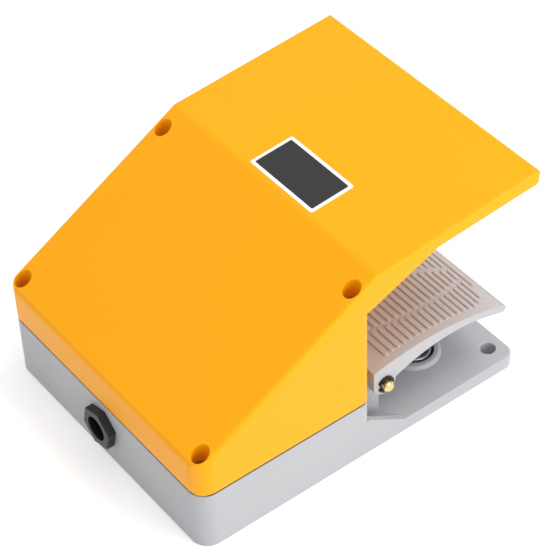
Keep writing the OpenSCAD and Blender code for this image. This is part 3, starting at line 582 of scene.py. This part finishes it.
# ---- Pivot ---------------------------------------------------------------------------------------
# A turned steel pin through both flanges and both ears, plated with yellow zinc, held by a black
# spring clip in a groove at each end. Nylon spacers keep the flanges off the ears.

# Zinc passivated yellow on turned steel: a pale gold mirror, bright on the chamfered end
dress("pivot_pin", plain_finish(
    "yellow_passivated_zinc", "#D9C48A", 0.28, metallic=1.0, grain_mm=0.6))
# Stamped spring steel, blackened in hot oil: near black, with a dull metal gleam on its edge
dress("retaining_clips", plain_finish(
    "blackened_spring_steel", "#2A2826", 0.4, metallic=0.8, grain_mm=0.3))
# Turned nylon left undyed: cream white and waxy
dress("pivot_spacers", plain_finish("natural_nylon", "#E3DFD2", 0.45, grain_mm=0.8))

# ---- Return springs ------------------------------------------------------------------------------
# Two compression springs of hard drawn wire with closed ends, each in a recess of the toe plate and
# round a peg of the treadle. They shorten as the treadle goes down, further than its pads do, so at
# the end of the travel they stand short of the pads.

# Hard drawn wire, dark with oil from the coiling: a grey mirror with soft highlights
spring_wire = plain_finish("oiled_spring_wire", "#8A8C90", 0.38, metallic=1.0, grain_mm=0.4)
wire, working_turns, closed_turns = 0.002, 6.0, 0.9


def coil_tree(finish):
    """A helix of round wire on each point, whose closed ends lie flat."""
    tree, size = sized_tree("compression_springs", ("Radius", "Wire", "Height", "Turns", "Closed"))
    line = add(tree, "GeometryNodeCurveSpiral", inputs={
        "Resolution": 28, "Rotations": size["Turns"], "Start Radius": size["Radius"],
        "End Radius": size["Radius"], "Height": 0.0})
    # The climb starts after the closed turns at the foot and stops before those at the top
    along = add(tree, "GeometryNodeSplineParameter").outputs["Factor"]
    foot = add(tree, "ShaderNodeMath", {"operation": "DIVIDE"}, {
        0: size["Closed"], 1: size["Turns"]})
    top = add(tree, "ShaderNodeMath", {"operation": "SUBTRACT"}, {0: 1.0, 1: foot.outputs[0]})
    climb = add(tree, "ShaderNodeMapRange", {"clamp": True}, {
        "Value": along, "From Min": foot.outputs[0], "From Max": top.outputs[0],
        "To Min": 0.0, "To Max": size["Height"]})
    up = add(tree, "ShaderNodeCombineXYZ", inputs={"Z": climb.outputs[0]})
    helix = add(tree, "GeometryNodeSetPosition", inputs={
        "Geometry": line.outputs[0], "Offset": up.outputs[0]})
    half = add(tree, "ShaderNodeMath", {"operation": "MULTIPLY"}, {0: size["Wire"], 1: 0.5})
    section = add(tree, "GeometryNodeCurvePrimitiveCircle", inputs={
        "Resolution": 12, "Radius": half.outputs[0]})
    coil = add(tree, "GeometryNodeCurveToMesh", inputs={
        "Curve": helix.outputs[0], "Profile Curve": section.outputs[0], "Fill Caps": True})
    placed = add(tree, "GeometryNodeInstanceOnPoints", inputs={
        "Points": size["Geometry"], "Instance": coil.outputs[0]})
    realised(tree, placed.outputs[0], finish)
    return tree


coils = coil_tree(spring_wire)
for side in ("left", "right"):
    low, high = (Vector(corner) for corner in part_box("return_spring_" + side))
    middle = (low + high) / 2
    spring = grown("coiled_spring_" + side, coils, [(middle.x, middle.y, low.z + wire / 2)], {
        "Radius": (high.x - low.x - wire) / 2, "Wire": wire, "Height": high.z - low.z - wire,
        "Turns": working_turns + 2 * closed_turns, "Closed": closed_turns})
    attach(spring, "housing")
    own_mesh(spring)
    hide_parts("return_spring_" + side)

# ---- Adjusting screw and push rod ----------------------------------------------------------------
# A set screw in the treadle's arm, locked by a nut, presses a stainless rod that slides through a
# brass guide in the box's wall, past a rubber wiper.

# Steel blackened in a hot salt bath: charcoal, half matt
black_oxide = plain_finish("black_oxide_steel", "#3A3A3D", 0.42, metallic=0.9, grain_mm=0.3)
# Stainless rod, centreless ground: a cold, clear grey mirror
stainless = plain_finish("ground_stainless_steel", "#C3C4C6", 0.25, metallic=1.0, grain_mm=0.25)
# Free-cutting brass straight from the lathe: warm gold with a slight satin
turned_brass = plain_finish("turned_brass", "#C9A55A", 0.3, metallic=1.0, grain_mm=0.4)
# Moulded nitrile rubber: black and dull, with barely a highlight
nitrile = plain_finish("black_nitrile_rubber", "#1B1B1D", 0.6, grain_mm=0.6)
dress("adjusting_screw", black_oxide)
dress("adjusting_locknut", zinc_plate)
dress("push_rod", stainless)
dress("rod_circlip", black_oxide)
dress("rod_guide", turned_brass)
dress("rod_guide_nut", turned_brass)
dress("rod_wiper", nitrile)

# ---- Contact block -------------------------------------------------------------------------------
# A snap-action switch moulded in black thermoset, screwed to a plated steel bracket, with a red
# plunger that the rod presses and tinned screw terminals.

dress("switch_bracket", zinc_plate)
dress("bracket_screws", zinc_plate)
# Compression-moulded thermoset: black, hard and half glossy
dress("switch_case", plain_finish("black_thermoset", "#232325", 0.38, grain_mm=0.5))
# Nylon dyed in the mass: a brick red with a soft sheen
dress("switch_plunger", plain_finish("red_moulded_nylon", "#A32A20", 0.4, grain_mm=0.6))
dress("switch_screws", zinc_plate)
# Stamped brass, tinned: a pale silver with a trace of yellow
dress("switch_terminals", plain_finish(
    "tinned_brass", "#C9C7BE", 0.3, metallic=1.0, grain_mm=0.3))
# Steel plated with nickel: a bright mirror, warmer than zinc
dress("terminal_screws", plain_finish(
    "nickel_plated_screws", "#BDB9AE", 0.28, metallic=1.0, grain_mm=0.3))

# ---- Cable entry ---------------------------------------------------------------------------------
# A hollow hexagonal gland nut moulded in black nylon, screwed into the back wall. It squeezes a
# rubber seal round the cable through a thin washer.

# Glass-filled nylon, injection moulded: black, half matt, its flats faintly grained by the mould
black_nylon = plain_finish(
    "black_moulded_nylon", "#111012", 0.42, grain_mm=0.7, depth=0.000012)
gland = softened("gland_nut", "moulded_gland_nut", 0.0003)
gland.data.materials.append(black_nylon)
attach(gland, "housing")
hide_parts("gland_nut")
dress("gland_washer", zinc_plate)
dress("gland_seal", nitrile)

# ---- Earth screw ---------------------------------------------------------------------------------
# A brass screw and washer on a pillar inside the box, where the earth wire ends.

dress("earth_screw", turned_brass)
dress("earth_washer", turned_brass)

# ---- Overall size --------------------------------------------------------------------------------
# The box of the finished model, found the same way as the box of the solids that it dresses

low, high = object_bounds()
